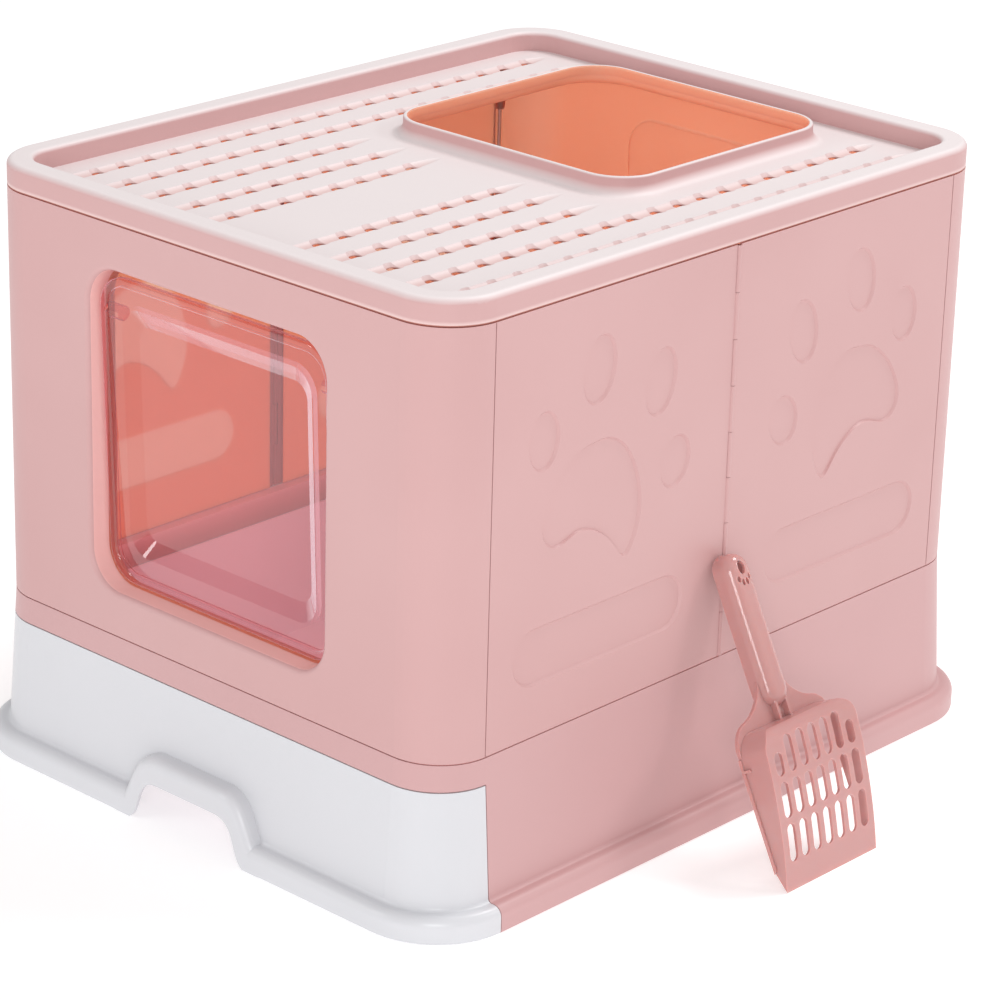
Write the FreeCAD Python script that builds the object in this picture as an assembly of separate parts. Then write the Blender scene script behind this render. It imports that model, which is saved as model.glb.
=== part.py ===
import FreeCAD, Part
import math
import os

# Hooded cat litter box: a base with a pull-out litter drawer, a hood of six panels
# that folds flat-wise on vertical hinge rods, a lift-off lid with a top entry,
# a see-through flap door and a slotted scoop leaning on the right wall.
# Millimetres, +Z up, -Y is the door side, +X the scoop side,
# origin on the floor under the middle of the hood.

V = FreeCAD.Vector
ORIGIN, AXIS_X, AXIS_Y, AXIS_Z = V(0, 0, 0), V(1, 0, 0), V(0, 1, 0), V(0, 0, 1)

# hood walls
HALF_W, HALF_D = 189.5, 237.0   # outer faces of the side and end walls
CORNER_R = 36.0                 # upright outer corners
WALL = 3.0
HOOD_Z0, HOOD_Z1 = 103.8, 357.4
PANEL_GAP = 0.35                # half of the line between two hood panels

# base and drawer front
BASE_TOP = 103.0
FLARE = 5.4                     # how far the base wall leans out above the foot bead
FOOT_OUT, FOOT_H, FOOT_R = 15.7, 16.0, 6.0
FOOT_SKIN, FOOT_EDGE_R = 2.2, 1.5
COVE_R = 2.4                    # hollow curve between the wall and the foot bead
SEAT_IN, SEAT_OUT, SEAT_T = 9.0, 1.5, 2.6   # inward flange that the hood stands on
RAIL_Z = 87.4                   # underside of the rail above the drawer front
FLOOR_T, FLOOR_IN = 2.5, 1.7    # base floor, and its edge's distance inside the foot
FLOOR_FRONT = -190.0
DRAWER_TOP, DRAWER_LOW = 86.6, 0.4
NOTCH_H, NOTCH_TOP, NOTCH_FOOT, NOTCH_LEAN = 28.0, 24.0, 58.0, 24.0
ARCH_H, ARCH_TOP, ARCH_FOOT, ARCH_LEAN = 44.0, 28.0, 75.0, 27.0   # hollow bead over the notch
ARCH_R, ARCH_SINK = 5.5, 2.0
HOLLOW_BACK, HOLLOW_LOW = 12.0, -2.0
PAN_T, PAN_LOW_Z = 2.5, 3.2
PAN_LOW = (172.0, -190.0, 215.0, 32.0)      # half width, front, rear and corner radius
PAN_TOP = (179.0, -231.0, 225.0, 34.0)
BRIDGE_IN = 0.5                 # drawer top flange's edge inside the front wall's face

# hinges
CORNER_PIN_X, CORNER_PIN_Y = 183.0, 201.0
CORNER_BARREL_R, CORNER_ROD_R, CORNER_BORE_R = 3.0, 1.25, 1.31
CORNER_LEVELS = (124.0, 230.5, 337.0)
CENTRE_PIN_X = 189.0
CENTRE_BARREL_R, CENTRE_ROD_R, CENTRE_BORE_R = 1.7, 0.9, 0.95
CENTRE_GAP = 2.0                # from the centre pin to each half panel
CENTRE_KNUCKLES, CENTRE_END = 9, 0.2
KNUCKLE_GAP = 0.3
CORNER_TALL, CORNER_SPLIT = 16.0, 5.5       # half heights of a corner hinge and its middle knuckle
WEB_NEAR, WEB_FAR, WEB_BITE = 0.4, 5.0, 1.0
ROD_BELOW, ROD_ABOVE = 18.0, 13.0           # corner rod's ends past the lowest and highest hinge
RECESS_W, RECESS_T = 6.0, 1.5               # thinned strip inside each half panel at the centre

# door opening and flap
OPEN_X, OPEN_Z0, OPEN_Z1, OPEN_R = 97.25, 131.0, 329.5, 23.0
JAMB_DEPTH, JAMB_T, JAMB_ROUND = 21.0, 2.5, 3.0
FLAP_X, FLAP_Z0, FLAP_Z1, FLAP_R = 95.2, 132.8, 324.0, 21.0
FLAP_FACE_Y = -228.0            # front of the flap's flat band when it hangs straight
FLAP_T, FLAP_BEAD_W, FLAP_BEAD_OUT, FLAP_BEAD_IN, FLAP_BEAD_R = 2.0, 5.5, 1.4, 3.6, 1.3
DISH_EDGE = (78.0, 152.0, 307.0, 15.0)      # half width, bottom, top and corner radius
DISH_PANE = (69.0, 162.0, 296.0, 10.0)
DISH_BACK, DISH_SKIN = 5.2, 2.2
PIVOT_Y, PIVOT_Z = -221.6, 299.0
PIVOT_R, PIVOT_BORE_R, PIVOT_BOSS_R, PIVOT_BOSS_L = 2.5, 2.58, 4.6, 12.0
PIVOT_END = 98.9

# lid
LID_Z0, LID_TOP, LID_EDGE_R = 358.1, 373.5, 4.0
RIM_W, RIM_WALL, RIM_IN_R = 16.0, 2.8, 3.0
PLATE_Z0, PLATE_TOP, PLATE_R, PLATE_BITE = 358.4, 361.0, 22.0, 2.0
ENTRY_X, ENTRY_Y0, ENTRY_Y1, ENTRY_R = 94.5, 7.0, 195.0, 25.0
COLLAR_TOP, COLLAR_T, COLLAR_LOW = 372.0, 3.0, 366.0
COLLAR_LIP_R, COLLAR_COVE_R = 1.3, 6.5
GROOVE_R, GROOVE_DEEP, GROOVE_SKIN = 7.5, 2.0, 1.2
HOLE_R, HOLE_PITCH, HOLE_Y0 = 3.4, 20.66, -201.0
DIMPLE_R, DIMPLE_LOW_R, DIMPLE_DEEP = 6.1, 3.7, 2.7
LONG_ROWS, LONG_HOLES, LONG_RUN = (122.0, 151.0), 20, 14.0
SHORT_ROWS, SHORT_HOLES, SHORT_RUN = (34.5, 63.5, 92.5), 9, 22.0
END_RUN, END_PAST = 7.0, 3.0    # a groove's blunt end, and its full depth past the last hole
PLAIN_ROW, PLAIN_RUN = 151.0, 17.0          # this row's first hole is left out at the front

# debossed marks on the walls
MARK_DEEP, MARK_TAPER = 1.3, 1.5
MARK_PROUD = 0.02               # how far the cutting shape stands out of the wall
TOES = ((-160.0, 279.5, 12.5, 17.5, -3.0), (-116.0, 310.5, 13.5, 20.5, -10.0),
        (-63.5, 290.5, 13.0, 20.5, -12.0), (-48.5, 239.0, 13.0, 16.0, -16.0))
PAD = ((-115.0, 269.0), (-97.0, 264.5), (-84.0, 249.0), (-77.0, 226.0), (-80.0, 204.0),
       (-89.0, 192.0), (-98.0, 200.5), (-111.0, 212.5), (-130.0, 218.0), (-150.0, 214.0),
       (-159.0, 222.0), (-156.0, 241.0), (-143.0, 258.0), (-130.0, 266.5))
PAD_MID = (-117.0, 236.0)
PILL = (-181.0, -37.0, 135.0, 170.0)

# scoop, drawn standing on its tip, then leant against the wall
LEAN = 27.0
TIP_X, TIP_Y, TIP_Z = 287.2, -6.5, 0.4
BOWL_HALF, BOWL_TOP, BOWL_R, BOWL_T = 41.5, 94.0, 13.0, 2.0
FACE_BOW, FACE_TOP, SHOULDER, FACE_SKIN = (12.6, 45.0), (18.5, 86.0), (17.2, 91.6), 2.1   # bowl's side view
BOWL_RIM, BOWL_TIP_U, BOWL_FRONT = -4.0, 12.0, 11.5   # rim plane, its low end, top's front
LIP_W, LIP_T = 1.3, 2.0
SLOT_W, SLOT_PITCH, SLOTS = 7.0, 10.9, 7
SLOT_ROWS = ((16.0, 38.0), (41.5, 62.5), (66.0, 88.0))
SLOT_END_TOP = 80.0
SLOT_BACK, SLOT_FRONT = -25.0, 8.0
NECK_T, NECK_TOP, EAR_MID, EAR_END, NECK_BEND = 2.6, 119.0, (39.6, 93.0), (31.0, 99.5), (17.5, 106.5)
NECK_LOW, NECK_LOW_X = 1.5, 33.0
RIB_Y, RIB_T, RIB_FRONT, RIB_UP = 4.6, 1.8, 3.0, 6.0
HANDLE_Z0, HANDLE_Z1, HANDLE_HALF = 101.0, 194.0, 10.0
HANDLE_BACK, HANDLE_FRONT, HANDLE_R, HANDLE_SKIN = -9.0, 5.0, 7.5, 2.2
PAW_HOLES = ((185.0, 0.0, 4.2, 2.7), (178.6, -4.3, 1.9, 1.2), (176.2, -1.6, 2.1, 1.2),
             (176.2, 1.6, 2.1, 1.2), (178.6, 4.3, 1.9, 1.2))
NUB_Z, NUB_T, NUB_L, NUB_OUT = 73.2, 1.6, 7.0, 1.4

FAR = 300.0                     # past everything, for cutting in half
TALL = 400.0
TOUCH = 0.01
DIAGONAL = math.sqrt(0.5)


def box(x0, x1, y0, y1, z0, z1):
    return Part.makeBox(x1 - x0, y1 - y0, z1 - z0, V(x0, y0, z0))


def rod(x, y, z0, z1, r):
    return Part.makeCylinder(r, z1 - z0, V(x, y, z0))


def path(points, place):
    """A closed wire through 2-D points; a pair of points is an arc's middle and end."""
    edges, here = [], points[0]
    for item in points[1:]:
        if isinstance(item[0], tuple):
            mid, end = item
            edges.append(Part.Arc(place(*here), place(*mid), place(*end)).toShape())
            here = end
        else:
            edges.append(Part.makeLine(place(*here), place(*item)))
            here = item
    if here != points[0]:
        edges.append(Part.makeLine(place(*here), place(*points[0])))
    return Part.Wire(edges)


def rounded(x0, x1, y0, y1, r, z=0.0):
    """A rounded rectangle in a level plane."""
    nip = r * (1 - DIAGONAL)
    return path([(x0 + r, y0), (x1 - r, y0), ((x1 - nip, y0 + nip), (x1, y0 + r)),
                 (x1, y1 - r), ((x1 - nip, y1 - nip), (x1 - r, y1)),
                 (x0 + r, y1), ((x0 + nip, y1 - nip), (x0, y1 - r)),
                 (x0, y0 + r), ((x0 + nip, y0 + nip), (x0 + r, y0))],
                lambda x, y: V(x, y, z))


def slab(wire, height):
    return Part.Face(wire).extrude(V(0, 0, height))


def plan(grow, z0, z1):
    """The hood's plan outline, grown by an amount, as a block."""
    return slab(rounded(-HALF_W - grow, HALF_W + grow, -HALF_D - grow, HALF_D + grow,
                        CORNER_R + grow, z0), z1 - z0)


def block_taper(low, high):
    return Part.makeLoft([low, high], True, True)


def upright(x0, x1, z0, z1, r, y0, y1):
    """A rounded rectangle in the front's plane, from y0 back to y1."""
    block = slab(rounded(x0, x1, z0, z1, r, -y1), y1 - y0)
    block.rotate(ORIGIN, AXIS_X, 90)
    return block


def upright_taper(outer, y, inner, y_in):
    """A tapered block between two rounded rectangles (half width, z0, z1, r) that face the front."""
    ends = [rounded(-x, x, z0, z1, r, -where) for (x, z0, z1, r), where in ((outer, y), (inner, y_in))]
    block = block_taper(*ends)
    block.rotate(ORIGIN, AXIS_X, 90)
    return block


def grown(rect, by):
    """A rounded rectangle (half width, z0, z1, r) made larger all round."""
    x, z0, z1, r = rect
    return (x + by, z0 - by, z1 + by, r + by)


def around(profile, half_x=HALF_W, half_y=HALF_D, corner_r=CORNER_R):
    """A section carried round a rounded rectangle: straight runs, and turns at the corners."""
    face = Part.Face(path(profile, lambda u, z: V(half_x + u, 0, z)))
    turn_x, turn_y = half_x - corner_r, half_y - corner_r
    side = face.extrude(V(0, turn_y, 0))
    start = face.copy()
    start.translate(V(0, turn_y, 0))
    corner = start.revolve(V(turn_x, turn_y, 0), AXIS_Z, 90)
    end = face.copy()
    end.rotate(ORIGIN, AXIS_Z, 90)
    end.translate(V(0, half_y - half_x, 0))
    front_run = end.extrude(V(turn_x, 0, 0))
    quarter = side.fuse([corner, front_run])
    half = quarter.fuse(quarter.mirror(ORIGIN, AXIS_X))
    return half.fuse(half.mirror(ORIGIN, AXIS_Y)).removeSplitter()


def to_side(shape):
    """Turns a drawing of (along, up) in the level plane so that it faces +X."""
    turned = shape.copy()
    turned.rotate(ORIGIN, V(1, 1, 1), 120)
    return turned


def solid(shape):
    merged = shape.removeSplitter()
    return merged.Solids[0] if len(merged.Solids) == 1 else merged


def knuckles(x, y, spans, barrel_r, web):
    """Hinge barrels on one pin line, each with the web that ties it to its panel."""
    parts = []
    for z0, z1 in spans:
        parts += [rod(x, y, z0, z1, barrel_r),
                  box(web[0], web[1], web[2], web[3], z0, z1)]
    return parts


def mirrored(shape, flip_x, flip_y):
    if flip_x:
        shape = shape.mirror(ORIGIN, AXIS_X)
    if flip_y:
        shape = shape.mirror(ORIGIN, AXIS_Y)
    return shape


# ---- base -------------------------------------------------------------------
# A flared wall with a hollow foot bead and a seat flange for the hood. The outer
# wall section is shared by the pink base and the white drawer front.
bead_u, bead_z = FOOT_OUT - FOOT_R, FOOT_H - FOOT_R
bend, bend_in = FOOT_R * DIAGONAL, (FOOT_R - FOOT_SKIN) * DIAGONAL
cove_nip, edge_nip = COVE_R * (1 - DIAGONAL), FOOT_EDGE_R * (1 - DIAGONAL)
foot = [(FLARE, FOOT_H + COVE_R), ((FLARE + cove_nip, FOOT_H + cove_nip), (FLARE + COVE_R, FOOT_H)),
        (bead_u, FOOT_H), ((bead_u + bend, bead_z + bend), (FOOT_OUT, bead_z)),
        (FOOT_OUT, FOOT_EDGE_R), ((FOOT_OUT - edge_nip, edge_nip), (FOOT_OUT - FOOT_EDGE_R, 0)),
        (FOOT_OUT - FOOT_SKIN, 0), (FOOT_OUT - FOOT_SKIN, bead_z),
        ((bead_u + bend_in, bead_z + bend_in), (bead_u, FOOT_H - FOOT_SKIN)),
        (FLARE - WALL / 2, FOOT_H - FOOT_SKIN), (FLARE - WALL, FOOT_H + COVE_R)]
wall_ring = around([(-WALL, BASE_TOP), (0, BASE_TOP)] + foot)
seat_ring = around([(-SEAT_IN, BASE_TOP - SEAT_T), (-SEAT_IN, BASE_TOP), (-SEAT_OUT, BASE_TOP),
                    (-SEAT_OUT, BASE_TOP - SEAT_T)])
floor_plate = plan(FOOT_OUT - FLOOR_IN, 0, FLOOR_T).cut(
    box(-FAR, FAR, -FAR, FLOOR_FRONT, -1, FLOOR_T + 1))
base = wall_ring.fuse([seat_ring, floor_plate]).cut(
    box(-FAR, FAR, -FAR, -CORNER_PIN_Y + PANEL_GAP, -1, RAIL_Z))

# ---- litter drawer ----------------------------------------------------------
# The front wall carries on the base's section. A hollow bead arches over the
# finger notch, and the pan hangs behind on a flange along the front's top.
front_wall = wall_ring.common(
    box(-FAR, FAR, -FAR, -CORNER_PIN_Y - PANEL_GAP, DRAWER_LOW, DRAWER_TOP))


def notch_block(top, foot_x, height, low, lean, y0, y1):
    """The finger notch's outline as a block: a flat top with an S-curve down each side."""
    def side(sign):
        curve = Part.BezierCurve()
        curve.setPoles([V(sign * top, y0, height), V(sign * (top + lean), y0, height),
                        V(sign * (foot_x - lean), y0, low), V(sign * foot_x, y0, low)])
        return curve.toShape()
    outline = Part.Wire([Part.makeLine(V(-top, y0, height), V(top, y0, height)), side(1),
                         Part.makeLine(V(foot_x, y0, low), V(-foot_x, y0, low)), side(-1)])
    return Part.Face(outline).extrude(V(0, y1 - y0, 0))


def arch_block(shrink, low, y1):
    """The arched bead's body, smaller all round by its skin for the hollow inside."""
    y0 = -HALF_D - FOOT_OUT + shrink
    block = notch_block(ARCH_TOP - shrink, ARCH_FOOT - shrink, ARCH_H - shrink, low, ARCH_LEAN, y0, y1)
    rim_edges = [edge for edge in block.Edges if abs(edge.BoundBox.YMin - y0) < TOUCH
                 and abs(edge.BoundBox.YMax - y0) < TOUCH and edge.BoundBox.ZMax > low + 1]
    return block.makeFillet(ARCH_R - shrink, rim_edges)


def pan_block(shrink, rise):
    """The pan's outside, or its inside when shrunk by the wall."""
    levels = []
    for (half_x, y0, y1, r), z in ((PAN_LOW, PAN_LOW_Z + rise), (PAN_TOP, DRAWER_TOP + TOUCH * rise)):
        levels.append(rounded(-half_x + shrink, half_x - shrink, y0 + shrink, y1 - shrink,
                              r - shrink, z))
    return block_taper(*levels)


arch = arch_block(0, DRAWER_LOW, -HALF_D - ARCH_SINK)
arch_hollow = arch_block(FOOT_SKIN, HOLLOW_LOW, -HALF_D + HOLLOW_BACK)
notch = notch_block(NOTCH_TOP, NOTCH_FOOT, NOTCH_H, HOLLOW_LOW, NOTCH_LEAN, -FAR,
                    -HALF_D + HOLLOW_BACK)
bridge = plan(-BRIDGE_IN, DRAWER_TOP - PAN_T, DRAWER_TOP).common(
    box(-FAR, FAR, -FAR, -CORNER_PIN_Y - PANEL_GAP, 0, DRAWER_TOP))
drawer = front_wall.fuse([arch, bridge]).cut([notch, arch_hollow]).fuse(pan_block(0, 0))
drawer = drawer.cut(pan_block(PAN_T, PAN_T))

# ---- hood panels ------------------------------------------------------------
hood_ring = plan(0, HOOD_Z0, HOOD_Z1).cut(plan(-WALL, HOOD_Z0 - 1, HOOD_Z1 + 1))

corner_own, corner_half = [], []
for level in CORNER_LEVELS:
    corner_own += [(level - CORNER_TALL, level - CORNER_SPLIT),
                   (level + CORNER_SPLIT, level + CORNER_TALL)]
    corner_half += [(level - CORNER_SPLIT + KNUCKLE_GAP, level + CORNER_SPLIT - KNUCKLE_GAP)]
corner_bore = rod(CORNER_PIN_X, CORNER_PIN_Y, HOOD_Z0, HOOD_Z1, CORNER_BORE_R)
corner_rod = rod(CORNER_PIN_X, CORNER_PIN_Y, CORNER_LEVELS[0] - ROD_BELOW,
                 CORNER_LEVELS[-1] + ROD_ABOVE, CORNER_ROD_R)
web_x = HALF_W - WALL + WEB_BITE
end_knuckles = knuckles(
    CORNER_PIN_X, CORNER_PIN_Y, corner_own, CORNER_BARREL_R,
    (CORNER_PIN_X, web_x, CORNER_PIN_Y + WEB_NEAR, CORNER_PIN_Y + WEB_FAR))
half_corner_knuckles = knuckles(
    CORNER_PIN_X, CORNER_PIN_Y, corner_half, CORNER_BARREL_R,
    (CORNER_PIN_X, web_x, CORNER_PIN_Y - WEB_FAR, CORNER_PIN_Y - WEB_NEAR))

step = (HOOD_Z1 - HOOD_Z0 - 2 * CENTRE_END) / CENTRE_KNUCKLES
centre_spans = []
for place in range(CENTRE_KNUCKLES):
    low = HOOD_Z0 + CENTRE_END + place * step
    centre_spans.append((low, low + step - KNUCKLE_GAP))
centre_bore = rod(CENTRE_PIN_X, 0, HOOD_Z0 - 1, HOOD_Z1 + 1, CENTRE_BORE_R)
centre_rod = rod(CENTRE_PIN_X, 0, HOOD_Z0 + CENTRE_END, HOOD_Z1 - 2 * CENTRE_END, CENTRE_ROD_R)


def oval(y, z, half_long, half_wide, tilt, x):
    """A toe's outline, standing on the side wall at x."""
    ring = Part.Ellipse(ORIGIN, half_long, half_wide).toShape()
    ring.rotate(ORIGIN, AXIS_Z, 90 + tilt)
    ring.translate(V(y, z, x))
    return Part.Wire(ring)


def pad_outline(shrink, x):
    """The pad's outline at x, drawn in towards its middle."""
    curve = Part.BSplineCurve()
    reach = math.hypot(PAD[3][0] - PAD_MID[0], PAD[3][1] - PAD_MID[1])
    scale = 1 - shrink / reach
    curve.interpolate([V(PAD_MID[0] + (y - PAD_MID[0]) * scale, PAD_MID[1] + (z - PAD_MID[1]) * scale, x)
                       for y, z in PAD], PeriodicFlag=True)
    return Part.Wire(curve.toShape())


def side_marks():
    """Shallow marks in the side wall: four toes, a pad and a long pill under them."""
    face, deep, taper = HALF_W + MARK_PROUD, HALF_W - MARK_DEEP, MARK_TAPER
    marks = [block_taper(oval(y, z, tall, wide, tilt, face),
                         oval(y, z, tall - taper, wide - taper, tilt, deep))
             for y, z, wide, tall, tilt in TOES]
    marks.append(block_taper(pad_outline(0, face), pad_outline(taper, deep)))
    y0, y1, z0, z1 = PILL
    pill_r = (z1 - z0) / 2 - TOUCH
    marks.append(block_taper(rounded(y0, y1, z0, z1, pill_r, face),
                             rounded(y0 + taper, y1 - taper, z0 + taper, z1 - taper,
                                     pill_r - taper, deep)))
    return [to_side(mark) for mark in marks]


def half_panel(knuckle_parity):
    """The right wall's front half: hinge to the front panel at its far edge."""
    panel = hood_ring.common(box(0, FAR, -CORNER_PIN_Y + PANEL_GAP, -CENTRE_GAP, 0, TALL))
    panel = panel.cut(side_marks())
    panel = panel.cut(box(HALF_W - WALL - 1, HALF_W - RECESS_T, -RECESS_W, 0, 0, TALL))
    panel = panel.fuse(knuckles(CENTRE_PIN_X, 0, centre_spans[knuckle_parity::2], CENTRE_BARREL_R,
                                (HALF_W - RECESS_T, HALF_W, -CENTRE_GAP - CENTRE_END, 0)))
    panel = panel.fuse([mirrored(part, False, True) for part in half_corner_knuckles])
    return panel.cut([centre_bore, mirrored(corner_bore, False, True)])


def end_panel(sign):
    """The front (sign -1) or rear (+1) wall with both its upright corners."""
    y0, y1 = sorted((sign * (CORNER_PIN_Y + PANEL_GAP), sign * FAR))
    panel = hood_ring.common(box(-FAR, FAR, y0, y1, 0, TALL))
    for flip in (False, True):
        panel = panel.fuse([mirrored(part, flip, sign < 0) for part in end_knuckles])
        panel = panel.cut(mirrored(corner_bore, flip, sign < 0))
    return panel


front_half, rear_half = half_panel(1), half_panel(0).mirror(ORIGIN, AXIS_Y)

jamb = upright(-OPEN_X - JAMB_T, OPEN_X + JAMB_T, OPEN_Z0 - JAMB_T, OPEN_Z1 + JAMB_T,
               OPEN_R + JAMB_T, -HALF_D, -HALF_D + JAMB_DEPTH)
door_hole = upright(-OPEN_X, OPEN_X, OPEN_Z0, OPEN_Z1, OPEN_R, -HALF_D - 1, -HALF_D + JAMB_DEPTH + 1)
front = end_panel(-1).fuse(jamb).cut(door_hole)
door_edges = [edge for edge in front.Edges if abs(edge.BoundBox.YMin + HALF_D) < TOUCH
              and abs(edge.BoundBox.YMax + HALF_D) < TOUCH
              and max(abs(edge.BoundBox.XMin), abs(edge.BoundBox.XMax)) < OPEN_X + 1
              and edge.BoundBox.ZMin > OPEN_Z0 - 1 and edge.BoundBox.ZMax < OPEN_Z1 + 1]
front = front.makeFillet(JAMB_ROUND, door_edges)
pivot_bore = Part.makeCylinder(PIVOT_BORE_R, 2 * (OPEN_X + JAMB_T) + 2,
                               V(-OPEN_X - JAMB_T - 1, PIVOT_Y, PIVOT_Z), AXIS_X)
front = front.cut(pivot_bore)

# the rear wall has the same rounded rectangle pressed inwards as a blind panel
door_outline = (OPEN_X, OPEN_Z0, OPEN_Z1, OPEN_R)
blind_in, blind_out = [
    upright_taper(door_outline, face + MARK_PROUD, grown(door_outline, -MARK_TAPER), face - MARK_DEEP)
    for face in (HALF_D - WALL, HALF_D)]
back = end_panel(1).fuse(blind_in).cut(blind_out)

# ---- flap door --------------------------------------------------------------
# A clear flap: bead round the edge, flat band, and a middle panel set back.
def flap_block(shrink, ahead, behind):
    return upright(-FLAP_X + shrink, FLAP_X - shrink, FLAP_Z0 + shrink, FLAP_Z1 - shrink,
                   FLAP_R - shrink, FLAP_FACE_Y - ahead, FLAP_FACE_Y + behind)


bead = flap_block(0, FLAP_BEAD_OUT, FLAP_BEAD_IN).cut(
    flap_block(FLAP_BEAD_W, FLAP_BEAD_OUT + 1, FLAP_BEAD_IN + 1))
bead = bead.makeFillet(FLAP_BEAD_R, [edge for edge in bead.Edges
                                     if edge.BoundBox.YMax - edge.BoundBox.YMin < TOUCH])
dish = upright_taper(DISH_EDGE, FLAP_FACE_Y - TOUCH, DISH_PANE, FLAP_FACE_Y + DISH_BACK)
dish_back = upright_taper(grown(DISH_EDGE, DISH_SKIN), FLAP_FACE_Y + FLAP_T - TOUCH,
                          grown(DISH_PANE, DISH_SKIN), FLAP_FACE_Y + DISH_BACK + FLAP_T)
flap = flap_block(0, 0, FLAP_T).fuse([bead, dish_back]).cut(dish)
for sign in (-1, 1):
    boss_x = min(sign * (FLAP_X - PIVOT_BOSS_L), sign * FLAP_X)
    stub_x = min(sign * (FLAP_X - FLAP_T), sign * PIVOT_END)
    flap = flap.fuse([
        Part.makeCylinder(PIVOT_BOSS_R, PIVOT_BOSS_L, V(boss_x, PIVOT_Y, PIVOT_Z), AXIS_X),
        Part.makeCylinder(PIVOT_R, PIVOT_END - FLAP_X + FLAP_T, V(stub_x, PIVOT_Y, PIVOT_Z), AXIS_X)])
flap = solid(flap)
# it swings until its weight is under the pivot
hang = flap.CenterOfMass
tilt = math.degrees(math.atan2(PIVOT_Y - hang.y, PIVOT_Z - hang.z))
flap.rotate(V(0, PIVOT_Y, PIVOT_Z), AXIS_X, tilt)

# ---- lid --------------------------------------------------------------------
# A tray with a hollow rim, a plate with round-bottomed drain grooves, and a
# collar that curves up out of the plate round the top entry.
edge_nip = LID_EDGE_R * (1 - DIAGONAL)
rim_nip = RIM_IN_R * (1 - DIAGONAL)
rim = around([(0, LID_Z0), (0, LID_TOP - LID_EDGE_R),
              ((-edge_nip, LID_TOP - edge_nip), (-LID_EDGE_R, LID_TOP)),
              (-RIM_W + RIM_IN_R, LID_TOP),
              ((-RIM_W + rim_nip, LID_TOP - rim_nip), (-RIM_W, LID_TOP - RIM_IN_R)),
              (-RIM_W, PLATE_Z0), (-RIM_W + RIM_WALL, PLATE_Z0),
              (-RIM_W + RIM_WALL, LID_TOP - RIM_WALL), (-RIM_WALL, LID_TOP - RIM_WALL),
              (-RIM_WALL, LID_Z0)])
plate_x, plate_y = HALF_W - RIM_W + PLATE_BITE, HALF_D - RIM_W + PLATE_BITE
plate = slab(rounded(-plate_x, plate_x, -plate_y, plate_y, PLATE_R, PLATE_Z0), PLATE_TOP - PLATE_Z0)

groove_z = PLATE_TOP - GROOVE_DEEP + GROOVE_R


def along_row(x, y0, y1, r):
    return Part.makeCylinder(r, y1 - y0, V(x, y0, groove_z), AXIS_Y)


def groove_tail(x, y, sign, run):
    """The groove's end, where it climbs out of the plate over a run."""
    slope = GROOVE_DEEP / run
    step_back = GROOVE_R * slope
    start = V(x, y - sign * step_back, groove_z - slope * step_back)
    return Part.makeCylinder(GROOVE_R, run + step_back + GROOVE_R, start, V(0, sign, slope))


def drain_row(x, holes, run):
    """One row's rib under the plate, and the cuts for its groove and holes."""
    first = 1 if x == PLAIN_ROW else 0
    y0 = HOLE_Y0 + first * HOLE_PITCH - (END_PAST if first else 0)
    y1 = HOLE_Y0 + (holes - 1) * HOLE_PITCH + END_PAST
    rib = along_row(x, y0 - END_RUN, y1 + END_RUN, GROOVE_R + GROOVE_SKIN).common(
        box(x - GROOVE_R, x + GROOVE_R, -FAR, FAR, LID_Z0 - GROOVE_R, PLATE_Z0 + 1))
    cuts = [along_row(x, y0, y1, GROOVE_R), groove_tail(x, y0, -1, PLAIN_RUN if first else END_RUN),
            groove_tail(x, y1, 1, run)]
    for place in range(first, holes):
        hole_y = HOLE_Y0 + place * HOLE_PITCH
        cuts += [Part.makeCone(DIMPLE_LOW_R, DIMPLE_R, DIMPLE_DEEP, V(x, hole_y, PLATE_TOP - DIMPLE_DEEP)),
                 rod(x, hole_y, LID_Z0 - GROOVE_R, PLATE_TOP, HOLE_R)]
    return rib, cuts


cove_u = COLLAR_T + COLLAR_COVE_R
cove_z = PLATE_TOP + COLLAR_COVE_R
under_r = COLLAR_COVE_R + PLATE_TOP - PLATE_Z0
under_u = cove_u - math.sqrt(under_r ** 2 - (cove_z - COLLAR_LOW) ** 2)
lip_nip = COLLAR_LIP_R * (1 - DIAGONAL)
collar = around(
    [(0, COLLAR_LOW), (0, COLLAR_TOP - COLLAR_LIP_R),
     ((lip_nip, COLLAR_TOP - lip_nip), (COLLAR_LIP_R, COLLAR_TOP)),
     (COLLAR_T - COLLAR_LIP_R, COLLAR_TOP),
     ((COLLAR_T - lip_nip, COLLAR_TOP - lip_nip), (COLLAR_T, COLLAR_TOP - COLLAR_LIP_R)),
     (COLLAR_T, cove_z),
     ((cove_u - COLLAR_COVE_R * DIAGONAL, cove_z - COLLAR_COVE_R * DIAGONAL), (cove_u, PLATE_TOP)),
     (cove_u + 1, PLATE_TOP), (cove_u + 1, PLATE_Z0), (cove_u, PLATE_Z0),
     ((cove_u - under_r * DIAGONAL, cove_z - under_r * DIAGONAL), (under_u, COLLAR_LOW))],
    ENTRY_X, (ENTRY_Y1 - ENTRY_Y0) / 2, ENTRY_R)
collar.translate(V(0, (ENTRY_Y0 + ENTRY_Y1) / 2, 0))
entry = slab(rounded(-ENTRY_X - cove_u, ENTRY_X + cove_u, ENTRY_Y0 - cove_u, ENTRY_Y1 + cove_u,
                     ENTRY_R + cove_u, PLATE_Z0 - 1), PLATE_TOP - PLATE_Z0 + 2)

ribs, drains = [], []
for rows, holes, run in ((LONG_ROWS, LONG_HOLES, LONG_RUN), (SHORT_ROWS, SHORT_HOLES, SHORT_RUN)):
    for x in [sign * row for row in rows for sign in (-1, 1)]:
        rib, cuts = drain_row(x, holes, run)
        ribs.append(rib)
        drains += cuts
lid = rim.fuse([plate] + ribs).cut([entry] + drains).fuse(collar)

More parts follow.
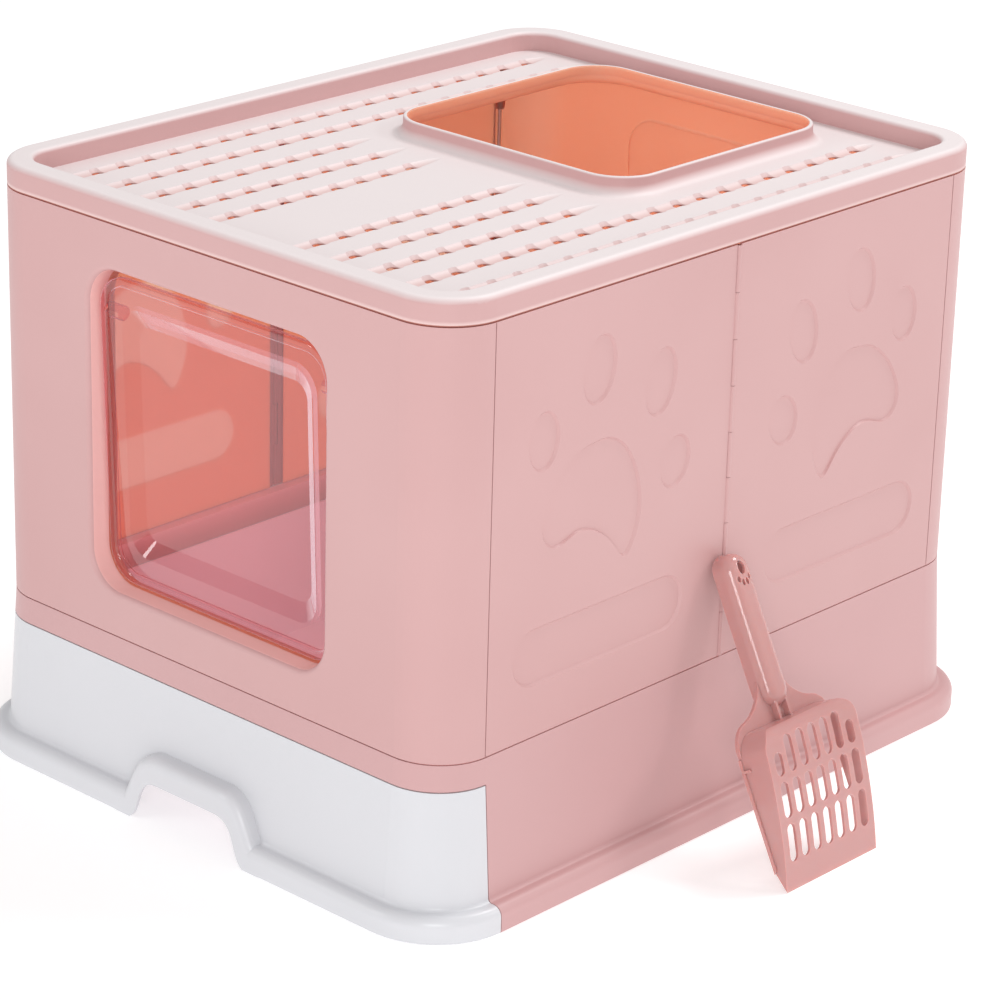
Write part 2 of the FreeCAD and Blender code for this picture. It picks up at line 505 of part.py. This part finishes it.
# ---- scoop ------------------------------------------------------------------
# Drawn standing on its tip: z up the handle, y across, x the outward face.
bowl_side = path([(0, 0), (FACE_BOW, FACE_TOP), (SHOULDER, (BOWL_FRONT, BOWL_TOP)),
                  (BOWL_RIM, BOWL_TOP), (BOWL_RIM, BOWL_TIP_U)], lambda n, u: V(n, 0, u))
inner_side = path([(-FACE_SKIN, -1), ((FACE_BOW[0] - FACE_SKIN, FACE_BOW[1]),
                                      (FACE_TOP[0] - FACE_SKIN, FACE_TOP[1])),
                   ((SHOULDER[0] - BOWL_T, SHOULDER[1] - BOWL_T), (BOWL_FRONT, BOWL_TOP - BOWL_T)),
                   (BOWL_RIM - BOWL_T, BOWL_TOP - BOWL_T), (BOWL_RIM - BOWL_T, -1)],
                  lambda n, u: V(n, 0, u))


def face_block(u0, u1, half, r, x0, x1, v=0.0):
    """A rounded rectangle across the scoop, from x0 to x1 through its thickness."""
    block = slab(rounded(u0, u1, v - half, v + half, r, -x1), x1 - x0)
    block.rotate(ORIGIN, AXIS_Y, -90)
    return block


def bowl_block(section, half, top, r):
    block = Part.Face(section).extrude(V(0, 2 * half, 0))
    block.translate(V(0, -half, 0))
    return block.common(face_block(-FAR, top, half, r, -FAR, FAR))


bowl = bowl_block(bowl_side, BOWL_HALF, BOWL_TOP, BOWL_R)
bowl = bowl.cut(bowl_block(inner_side, BOWL_HALF - BOWL_T, BOWL_TOP - BOWL_T, BOWL_R - BOWL_T))
slots = []
for u0, u1 in SLOT_ROWS:
    for place in range(SLOTS):
        v = (place - (SLOTS - 1) / 2) * SLOT_PITCH
        at_end = place in (0, SLOTS - 1)
        top = min(u1, SLOT_END_TOP) if at_end else u1
        slots.append(face_block(u0, top, SLOT_W / 2, SLOT_W / 2 - TOUCH, -SLOT_FRONT, -SLOT_BACK, v))
bowl = bowl.cut(slots)

neck_half = Part.Face(path(
    [(0, BOWL_TOP - NECK_LOW), (NECK_LOW_X, BOWL_TOP - NECK_LOW), (BOWL_HALF, BOWL_TOP - BOWL_R),
     (EAR_MID, EAR_END), (NECK_BEND, (HANDLE_HALF, NECK_TOP)), (0, NECK_TOP)],
    lambda v, u: V(BOWL_RIM, v, u))).extrude(V(NECK_T, 0, 0))
lip = Part.Face(path(
    [(BOWL_RIM, BOWL_TOP - BOWL_R), (BOWL_RIM, BOWL_TIP_U),
     (BOWL_RIM + LIP_T, BOWL_TIP_U + LIP_T), (BOWL_RIM + LIP_T, BOWL_TOP - BOWL_R)],
    lambda n, u: V(n, BOWL_HALF - 1, u))).extrude(V(0, LIP_W + 1, 0))
blade_rib = box(BOWL_RIM, RIB_FRONT, RIB_Y - RIB_T / 2, RIB_Y + RIB_T / 2, BOWL_TOP - 1,
                HANDLE_Z0 + RIB_UP)
paired = [part for half in (neck_half, lip, blade_rib) for part in (half, mirrored(half, False, True))]

handle = face_block(HANDLE_Z0, HANDLE_Z1, HANDLE_HALF, HANDLE_HALF - TOUCH, HANDLE_BACK, HANDLE_FRONT)
handle = handle.makeFillet(HANDLE_R, [edge for edge in handle.Edges
                                      if edge.BoundBox.XMin > HANDLE_FRONT - TOUCH])
hollow_front = HANDLE_FRONT - HANDLE_SKIN
hollow = face_block(HANDLE_Z0 + HANDLE_SKIN, HANDLE_Z1 - HANDLE_SKIN, HANDLE_HALF - HANDLE_SKIN,
                    HANDLE_HALF - HANDLE_SKIN - TOUCH, HANDLE_BACK - 1, hollow_front)
hollow = hollow.makeFillet(HANDLE_R - HANDLE_SKIN, [edge for edge in hollow.Edges
                                                    if edge.BoundBox.XMin > hollow_front - TOUCH])
paw = []
for up, across, half_long, half_wide in PAW_HOLES:
    hole = Part.Face(Part.Wire(Part.Ellipse(ORIGIN, half_long, half_wide).toShape()))
    hole = hole.extrude(V(0, 0, HANDLE_FRONT - HANDLE_BACK))
    hole.translate(V(up, across, -HANDLE_FRONT - 1))
    hole.rotate(ORIGIN, AXIS_Y, -90)
    paw.append(hole)
handle = handle.cut([hollow] + paw)
nub = box(BOWL_RIM, BOWL_RIM + NUB_L, -BOWL_HALF - NUB_OUT, -BOWL_HALF + 1, NUB_Z, NUB_Z + NUB_T)
scoop = bowl.fuse([handle, nub] + paired)
scoop.rotate(ORIGIN, AXIS_Y, -LEAN)
scoop.translate(V(TIP_X, TIP_Y, TIP_Z))

# ---- the pieces -------------------------------------------------------------
NODES = {
    "base_frame": base,
    "litter_drawer": drawer,
    "front_panel": front,
    "back_panel": back,
    "right_front_panel": front_half,
    "right_rear_panel": rear_half,
    "left_front_panel": front_half.mirror(ORIGIN, AXIS_X),
    "left_rear_panel": rear_half.mirror(ORIGIN, AXIS_X),
    "right_centre_rod": centre_rod,
    "left_centre_rod": mirrored(centre_rod, True, False),
    "right_rear_corner_rod": corner_rod,
    "left_rear_corner_rod": mirrored(corner_rod, True, False),
    "right_front_corner_rod": mirrored(corner_rod, False, True),
    "left_front_corner_rod": mirrored(corner_rod, True, True),
    "lid": lid,
    "flap_door": flap,
    "scoop": scoop,
}

os.makedirs("parts", exist_ok=True)
for name, shape in NODES.items():
    piece = solid(shape)
    piece.exportStep("parts/" + name + ".step")
    span = piece.BoundBox
    print(name, len(piece.Solids), piece.isValid(), round(piece.Volume / 1000, 1), "cm3",
          [round(value, 1) for value in (span.XMin, span.XMax, span.YMin, span.YMax, span.ZMin, span.ZMax)])
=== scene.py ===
import math

import bpy
from mathutils import Matrix, Vector


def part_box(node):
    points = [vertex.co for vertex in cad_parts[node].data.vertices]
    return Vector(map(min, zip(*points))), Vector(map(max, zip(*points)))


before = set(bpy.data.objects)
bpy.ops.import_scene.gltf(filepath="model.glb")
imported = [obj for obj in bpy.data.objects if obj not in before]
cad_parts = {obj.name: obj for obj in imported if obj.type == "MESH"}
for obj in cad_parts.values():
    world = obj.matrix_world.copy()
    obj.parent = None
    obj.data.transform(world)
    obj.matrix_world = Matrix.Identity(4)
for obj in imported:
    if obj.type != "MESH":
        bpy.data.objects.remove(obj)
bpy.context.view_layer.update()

# ---- Studio: camera ----------------------------------------------------------
# A long lens a little above the lid, looking at the door corner and the scoop
# side; the small roll is the camera's own.
AZIMUTH, ELEVATION, ROLL = math.radians(42.51), math.radians(21.56), math.radians(1.57)
DISTANCE, LENS = 2.3217, 135.5
target = Vector((0.00515, 0.00645, 0.14712))
back = Vector((math.sin(AZIMUTH) * math.cos(ELEVATION),
               -math.cos(AZIMUTH) * math.cos(ELEVATION), math.sin(ELEVATION)))
right = Vector((math.cos(AZIMUTH), math.sin(AZIMUTH), 0))
up = back.cross(right)
level_right = right * math.cos(ROLL) + up * math.sin(ROLL)
level_up = up * math.cos(ROLL) - right * math.sin(ROLL)
camera_data = bpy.data.cameras.new("camera")
camera_data.lens = LENS
camera = bpy.data.objects.new("camera", camera_data)
camera.matrix_world = (Matrix.Translation(target + back * DISTANCE)
                       @ Matrix((level_right, level_up, back)).transposed().to_4x4())
bpy.context.scene.collection.objects.link(camera)
bpy.context.scene.camera = camera
bpy.context.scene.view_settings.view_transform = "Standard"


# ---- Studio: floor and light -------------------------------------------------
# A white light table under soft boxes, so the shadows are faint and the gloss
# shows as broad pale bands.
def srgb(code):
    """An sRGB hex colour as linear RGBA."""
    parts = [int(code[i:i + 2], 16) / 255 for i in (1, 3, 5)]
    return tuple(c / 12.92 if c <= 0.04045 else ((c + 0.055) / 1.055) ** 2.4
                 for c in parts) + (1.0,)


def add_node(tree, kind, values=None, links=None, **settings):
    """Adds one node: settings are its properties, values its sockets, links what feeds them."""
    made = tree.nodes.new(kind)
    for name, value in settings.items():
        setattr(made, name, value)
    for name, value in (values or {}).items():
        made.inputs[name].default_value = value
    for name, source in (links or {}).items():
        tree.links.new(source, made.inputs[name])
    return made


def new_material(name):
    made = bpy.data.materials.new(name)
    made.use_nodes = True
    made.node_tree.nodes.clear()
    return made


floor_paper = new_material("studio_paper")
tree = floor_paper.node_tree
paper = add_node(tree, "ShaderNodeBsdfPrincipled",
                 {"Base Color": srgb("#E0E0E0"), "Roughness": 1.0, "Specular IOR Level": 0.0,
                  "Emission Color": srgb("#FFFFFF"), "Emission Strength": 0.45})
add_node(tree, "ShaderNodeOutputMaterial", links={"Surface": paper.outputs[0]})
bpy.ops.mesh.primitive_plane_add(size=30)
floor = bpy.context.object
floor.name = "studio_floor"
floor.data.materials.append(floor_paper)

world = bpy.data.worlds.new("studio_world")
world.use_nodes = True
world.node_tree.nodes["Background"].inputs["Color"].default_value = srgb("#FFFFFF")
world.node_tree.nodes["Background"].inputs["Strength"].default_value = 0.57
bpy.context.scene.world = world


def soft_box(name, place, aim, size, power):
    light = bpy.data.lights.new(name, "AREA")
    light.shape, light.size, light.size_y = "RECTANGLE", size[0], size[1]
    light.energy = power
    made = bpy.data.objects.new(name, light)
    made.location = place
    made.rotation_euler = (Vector(aim) - Vector(place)).to_track_quat("-Z", "Y").to_euler()
    bpy.context.scene.collection.objects.link(made)


soft_box("key_box", (2.0, 1.45, 1.9), (0.1, 0, 0.2), (0.5, 0.5), 9)
soft_box("door_box", (1.9, -2.0, 1.0), (0, 0, 0.2), (0.9, 0.9), 21)
soft_box("fill_box", (-1.4, -2.4, 1.3), (0, 0, 0.15), (0.4, 1.8), 12)
soft_box("top_box", (0.45, 1.35, 2.5), (0, 0, 0.2), (0.9, 0.9), 28)


# ---- Hood walls --------------------------------------------------------------
# Six panels of injection-moulded polypropylene on upright hinge rods. The
# mould was lightly spark-textured, which gives a soft satin sheen, and the
# colour drifts a little where the melt flowed.
# Strength of the painted glow: emission standing in for daylight through thin walls, though no lamp
# is there.
PAINTED_GLOW_STRENGTH = 0.11


def moulded_plastic(name, code, drift_code, roughness, light_depth=0.0, painted_light_patches=(), soaked=None,
                    painted_glow=None):
    """Polypropylene with a fine eroded grain, a faint colour drift and uneven gloss.

    A painted-light patch is a mask and the colour painted there in place of light or shade. Light
    soaks light_depth metres into the wall, all over or only where the mask soaked says. A painted
    glow is a mask and the colour of an emission painted there, standing in for the daylight that
    comes through the thin wall."""
    made = new_material(name)
    tree = made.node_tree
    place = add_node(tree, "ShaderNodeTexCoord").outputs["Object"]
    flow = add_node(tree, "ShaderNodeTexNoise", {"Scale": 7.0, "Detail": 2.0},
                    {"Vector": place}).outputs["Fac"]
    ramp = add_node(tree, "ShaderNodeValToRGB", links={"Fac": flow})
    ramp.color_ramp.elements[0].position, ramp.color_ramp.elements[0].color = 0.3, srgb(code)
    ramp.color_ramp.elements[1].position, ramp.color_ramp.elements[1].color = 0.7, srgb(drift_code)
    colour = ramp.outputs["Color"]
    # Each patch paints light or shade into the colour.
    for mask, painted_light_code in painted_light_patches:
        colour = add_node(tree, "ShaderNodeMix", {"B": srgb(painted_light_code)},
                          {"Factor": mask(tree, place), "A": colour},
                          data_type="RGBA").outputs["Result"]
    wear = add_node(tree, "ShaderNodeTexNoise", {"Scale": 30.0, "Detail": 3.0},
                    {"Vector": place}).outputs["Fac"]
    gloss = add_node(tree, "ShaderNodeMapRange",
                     {"To Min": roughness - 0.05, "To Max": roughness + 0.05}, {"Value": wear})
    # the real grain is about 0.1 mm; it is drawn at 1.5 mm so that it can show at all
    grain = add_node(tree, "ShaderNodeTexNoise", {"Scale": 650.0, "Detail": 2.0},
                     {"Vector": place}).outputs["Fac"]
    bump = add_node(tree, "ShaderNodeBump", {"Strength": 0.12, "Distance": 0.0002},
                    {"Height": grain})
    body = add_node(tree, "ShaderNodeBsdfPrincipled",
                    {"IOR": 1.49, "Subsurface Weight": 1.0 if light_depth and not soaked else 0.0,
                     "Subsurface Scale": light_depth, "Subsurface Radius": (1.0, 0.6, 0.5)},
                    {"Base Color": colour, "Roughness": gloss.outputs["Result"],
                     "Normal": bump.outputs["Normal"]})
    # Painted glow: emission, though the part is no lamp.
    if painted_glow:
        painted_glow_mask, painted_glow_code = painted_glow
        body.inputs["Emission Strength"].default_value = PAINTED_GLOW_STRENGTH
        painted_glow_colour = add_node(tree, "ShaderNodeMix", {"A": srgb("#000000"), "B": srgb(painted_glow_code)},
                       {"Factor": painted_glow_mask(tree, place)}, data_type="RGBA")
        tree.links.new(painted_glow_colour.outputs["Result"], body.inputs["Emission Color"])
    if soaked:
        tree.links.new(soaked(tree, place), body.inputs["Subsurface Weight"])
    add_node(tree, "ShaderNodeOutputMaterial", links={"Surface": body.outputs[0]})
    return made


def within(tree, place, centre, half, radius):
    """1 inside an upright rounded rectangle, 0 outside it."""
    moved = add_node(tree, "ShaderNodeVectorMath", {1: centre}, {0: place}, operation="SUBTRACT")
    flat = add_node(tree, "ShaderNodeVectorMath", {1: (1, 1, 0)}, {0: moved.outputs[0]},
                    operation="MULTIPLY")
    folded = add_node(tree, "ShaderNodeVectorMath", links={0: flat.outputs[0]},
                      operation="ABSOLUTE")
    past = add_node(tree, "ShaderNodeVectorMath", {1: (half[0] - radius, half[1] - radius, 0)},
                    {0: folded.outputs[0]}, operation="SUBTRACT")
    corner = add_node(tree, "ShaderNodeVectorMath", {1: (0, 0, 0)}, {0: past.outputs[0]},
                      operation="MAXIMUM")
    reach = add_node(tree, "ShaderNodeVectorMath", links={0: corner.outputs[0]}, operation="LENGTH")
    return add_node(tree, "ShaderNodeMath", {1: radius}, {0: reach.outputs["Value"]},
                    operation="LESS_THAN").outputs[0]


hood_low, hood_high = (Vector(corner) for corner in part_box("front_panel"))
WALL_CORNER = 0.034
PAST_MARKS = 0.0022        # deeper into the wall than its pressed marks
CABIN_BACK = 0.006         # the cabin's middle is this far back, which leaves the jamb out
JAMB_MIDDLE, JAMB_HALF_DEPTH, JAMB_HALF_WIDTH, JAMB_CORNER = 0.0087, 0.0063, 0.105, 0.001


def cabin_side(tree, place):
    """1 on the cabin side of the hood's walls, 0 on their outer face and on the jamb. This side is
    painted coral as painted bounce light, and light soaks into it.
    """
    half = (hood_high.x - PAST_MARKS, -hood_low.y - PAST_MARKS - CABIN_BACK)
    return within(tree, place, (0, CABIN_BACK, 0), half, WALL_CORNER)


def jamb_painted_light(tree, place):
    """1 on the door opening's jamb, which is painted paler as painted light on a face that lies in
    shade.
    """
    return within(tree, place, (0, hood_low.y + JAMB_MIDDLE, 0),
                  (JAMB_HALF_WIDTH, JAMB_HALF_DEPTH), JAMB_CORNER)


def finish_node(names, material):
    for name in names:
        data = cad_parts[name].data
        data.materials.clear()
        data.materials.append(material)


# Painted bounce light: the cabin side is painted coral to stand in for light that bounces round the
# pink cabin and comes through its walls.
PAINTED_BOUNCE_CORAL = "#EF8670"
blush_polypropylene = moulded_plastic(
    "blush_polypropylene", "#D0A5A4", "#CCA09F", 0.42, light_depth=0.03,
    painted_light_patches=[(jamb_painted_light, "#F3C3BE"), (cabin_side, PAINTED_BOUNCE_CORAL)], soaked=cabin_side)
finish_node(["front_panel", "back_panel", "right_front_panel", "right_rear_panel",
             "left_front_panel", "left_rear_panel"], blush_polypropylene)

# ---- Base --------------------------------------------------------------------
# The same polypropylene in a slightly dustier batch, moulded as one flared ring
# on a thin floor, with a hollow bead round the foot.
SEAT_HALF = (0.1885, 0.2355)


def seat_painted_light(tree, place):
    """1 on the base's seat and inner walls, 0 outside. These are painted paler and given a painted
    pink glow, standing in for light on faces that lie in shade.
    """
    return within(tree, place, (0, 0, 0), SEAT_HALF, WALL_CORNER)


# The seat is painted paler and glows pink, as painted light on faces in shade.
dusty_polypropylene = moulded_plastic("dusty_polypropylene", "#CFA4A4", "#CBA0A0", 0.40,
                                      painted_light_patches=[(seat_painted_light, "#F3C6C4")],
                                      painted_glow=(seat_painted_light, "#FFB0B4"))
finish_node(["base_frame"], dusty_polypropylene)

# ---- Litter drawer -----------------------------------------------------------
# A cool white polypropylene pan with its front in one moulding; glossier than
# the hood because the mould was polished.
PAN_MIDDLE, PAN_HALF, PAN_CORNER = (0, -0.003, 0), (0.178, 0.229), 0.03


def pan_painted_light(tree, place):
    """1 inside the pan, 0 on the drawer's front. The pan is painted whiter and given a painted pink
    glow, standing in for the light that reaches it through the pink walls.
    """
    return within(tree, place, PAN_MIDDLE, PAN_HALF, PAN_CORNER)


# The pan is painted whiter and glows pink, as painted light from the pink walls.
white_polypropylene = moulded_plastic("white_polypropylene", "#D8D8DC", "#D5D5D9", 0.30,
                                      painted_light_patches=[(pan_painted_light, "#FBF4F7")],
                                      painted_glow=(pan_painted_light, "#FFD2E6"))
finish_node(["litter_drawer"], white_polypropylene)

# ---- Lid ---------------------------------------------------------------------
# The same blush polypropylene, moulded as one tray with a rolled collar round
# the top entry. Its upward tread is painted much paler as painted light from above,
# its drain grooves and holes darker as painted shade, and its underside coral as
# painted bounce light.
PLATE_TOP, GROOVE_FLOOR, HOLE_TOP, HOLE_FLOOR = 0.3609, 0.3590, 0.35895, 0.3584
ENTRY_MIDDLE, ENTRY_HALF, ENTRY_CORNER = (0, 0.101, 0), (0.0952, 0.0947), 0.0257


def upward(tree):
    """How far the face looks up, from -1 to 1."""
    way = add_node(tree, "ShaderNodeTexCoord").outputs["Normal"]
    return add_node(tree, "ShaderNodeSeparateXYZ", links={"Vector": way}).outputs["Z"]


def sunk(tree, place, top, floor_z):
    """0 above the height top, rising to 1 at floor_z."""
    height = add_node(tree, "ShaderNodeSeparateXYZ", links={"Vector": place}).outputs["Z"]
    return add_node(tree, "ShaderNodeMapRange", {"From Min": top, "From Max": floor_z},
                    {"Value": height}).outputs["Result"]


def tread_painted_light(tree, place):
    """1 on faces that look up, 0 on the skirt and the walls of the holes. The upward faces are
    painted paler as painted light from above.
    """
    return add_node(tree, "ShaderNodeMapRange", {"From Min": 0.15, "From Max": 0.95},
                    {"Value": upward(tree)}).outputs["Result"]


def groove_painted_shade(tree, place):
    """0 on the tread's flats, 1 at the bottom of a drain groove, which is painted darker as painted
    shade.
    """
    return sunk(tree, place, PLATE_TOP, GROOVE_FLOOR)


def hole_painted_shade(tree, place):
    """1 down the wall of a drain hole, which is painted dark as painted shade."""
    return sunk(tree, place, HOLE_TOP, HOLE_FLOOR)


def cabin_face(tree, place):
    """1 on the lid's underside and the entry's inner wall, which are painted coral as painted
    bounce light and let light soak in.
    """
    under = add_node(tree, "ShaderNodeMath", {1: -0.05}, {0: upward(tree)},
                     operation="LESS_THAN")
    collar = within(tree, place, ENTRY_MIDDLE, ENTRY_HALF, ENTRY_CORNER)
    return add_node(tree, "ShaderNodeMath", links={0: under.outputs[0], 1: collar},
                    operation="MAXIMUM").outputs[0]


# Painted light and shade on the lid: paler tread, darker grooves and holes, coral underside.
lid_polypropylene_painted_light = moulded_plastic(
    "lid_polypropylene_painted_light", "#CFA5A4", "#CCA1A0", 0.45, light_depth=0.03,
    painted_light_patches=[(tread_painted_light, "#EDE2E2"), (groove_painted_shade, "#E6C6C3"), (hole_painted_shade, "#A25C4E"),
             (cabin_face, PAINTED_BOUNCE_CORAL)], soaked=cabin_face)
finish_node(["lid"], lid_polypropylene_painted_light)

# ---- Hinge rods --------------------------------------------------------------
# Six lengths of drawn steel wire, pushed through the hinge knuckles from above
# and bright where the knuckles leave them bare.
drawn_steel = new_material("drawn_steel_wire")
tree = drawn_steel.node_tree
place = add_node(tree, "ShaderNodeTexCoord").outputs["Object"]
stretch = add_node(tree, "ShaderNodeMapping", {"Scale": (1.0, 1.0, 0.02)}, {"Vector": place})
draw_marks = add_node(tree, "ShaderNodeTexNoise", {"Scale": 4000.0},
                      {"Vector": stretch.outputs["Vector"]})
bright = add_node(tree, "ShaderNodeMapRange", {"To Min": 0.22, "To Max": 0.4},
                  {"Value": draw_marks.outputs["Fac"]})
steel = add_node(tree, "ShaderNodeBsdfPrincipled",
                 {"Base Color": srgb("#B9B9BC"), "Metallic": 1.0},
                 {"Roughness": bright.outputs["Result"]})
add_node(tree, "ShaderNodeOutputMaterial", links={"Surface": steel.outputs[0]})
finish_node([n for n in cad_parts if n.endswith("_rod")], drawn_steel)

# ---- Flap door ---------------------------------------------------------------
# Clear tinted polystyrene, polished on both faces and hung on its own stub axles.
# The sheet is thin, so it tints what is behind it and hardly bends it; seen along
# its bead and the step round its middle it goes milky.
clear_polystyrene = new_material("clear_pink_polystyrene")
tree = clear_polystyrene.node_tree
place = add_node(tree, "ShaderNodeTexCoord").outputs["Object"]
ripple = add_node(tree, "ShaderNodeTexNoise", {"Scale": 9.0, "Detail": 0.0}, {"Vector": place})
swim = add_node(tree, "ShaderNodeBump", {"Strength": 0.03, "Distance": 0.001},
                {"Height": ripple.outputs["Fac"]})
clear = add_node(tree, "ShaderNodeBsdfTransparent", {"Color": srgb("#F9DCDF")})
shine = add_node(tree, "ShaderNodeBsdfGlossy", {"Color": srgb("#FFFFFF"), "Roughness": 0.05},
                 {"Normal": swim.outputs["Normal"]})
facing = add_node(tree, "ShaderNodeFresnel", {"IOR": 1.8}, {"Normal": swim.outputs["Normal"]})
behind = add_node(tree, "ShaderNodeNewGeometry").outputs["Backfacing"]
outer = add_node(tree, "ShaderNodeMath", {0: 1.0}, {1: behind}, operation="SUBTRACT")
gloss = add_node(tree, "ShaderNodeMath", links={0: facing.outputs[0], 1: outer.outputs[0]},
                 operation="MULTIPLY")
milk = add_node(tree, "ShaderNodeBsdfDiffuse", {"Color": srgb("#F6DCE6")})
slant = add_node(tree, "ShaderNodeLayerWeight", {"Blend": 0.5}).outputs["Facing"]
edge = add_node(tree, "ShaderNodeMapRange", {"From Min": 0.42, "From Max": 0.9, "To Max": 0.7},
                {"Value": slant})
depth = add_node(tree, "ShaderNodeMixShader", links={0: edge.outputs["Result"],
                                                     1: clear.outputs[0], 2: milk.outputs[0]})
skin = add_node(tree, "ShaderNodeMixShader", links={0: gloss.outputs[0], 1: depth.outputs[0],
                                                    2: shine.outputs[0]})
open_to_lamps = add_node(tree, "ShaderNodeBsdfTransparent", {"Color": srgb("#F6D8D8")})
lamp_ray = add_node(tree, "ShaderNodeLightPath").outputs["Is Shadow Ray"]
pane = add_node(tree, "ShaderNodeMixShader", links={0: lamp_ray, 1: skin.outputs[0],
                                                    2: open_to_lamps.outputs[0]})
add_node(tree, "ShaderNodeOutputMaterial", links={"Surface": pane.outputs[0]})
finish_node(["flap_door"], clear_polystyrene)

# ---- Scoop -------------------------------------------------------------------
# One polypropylene moulding from a polished mould: an open-backed handle with a
# paw cut through its front, and a slotted bowl.
glossy_polypropylene = moulded_plastic("glossy_polypropylene", "#CE9D9A", "#CA9996", 0.13,
                                       light_depth=0.002)
finish_node(["scoop"], glossy_polypropylene)
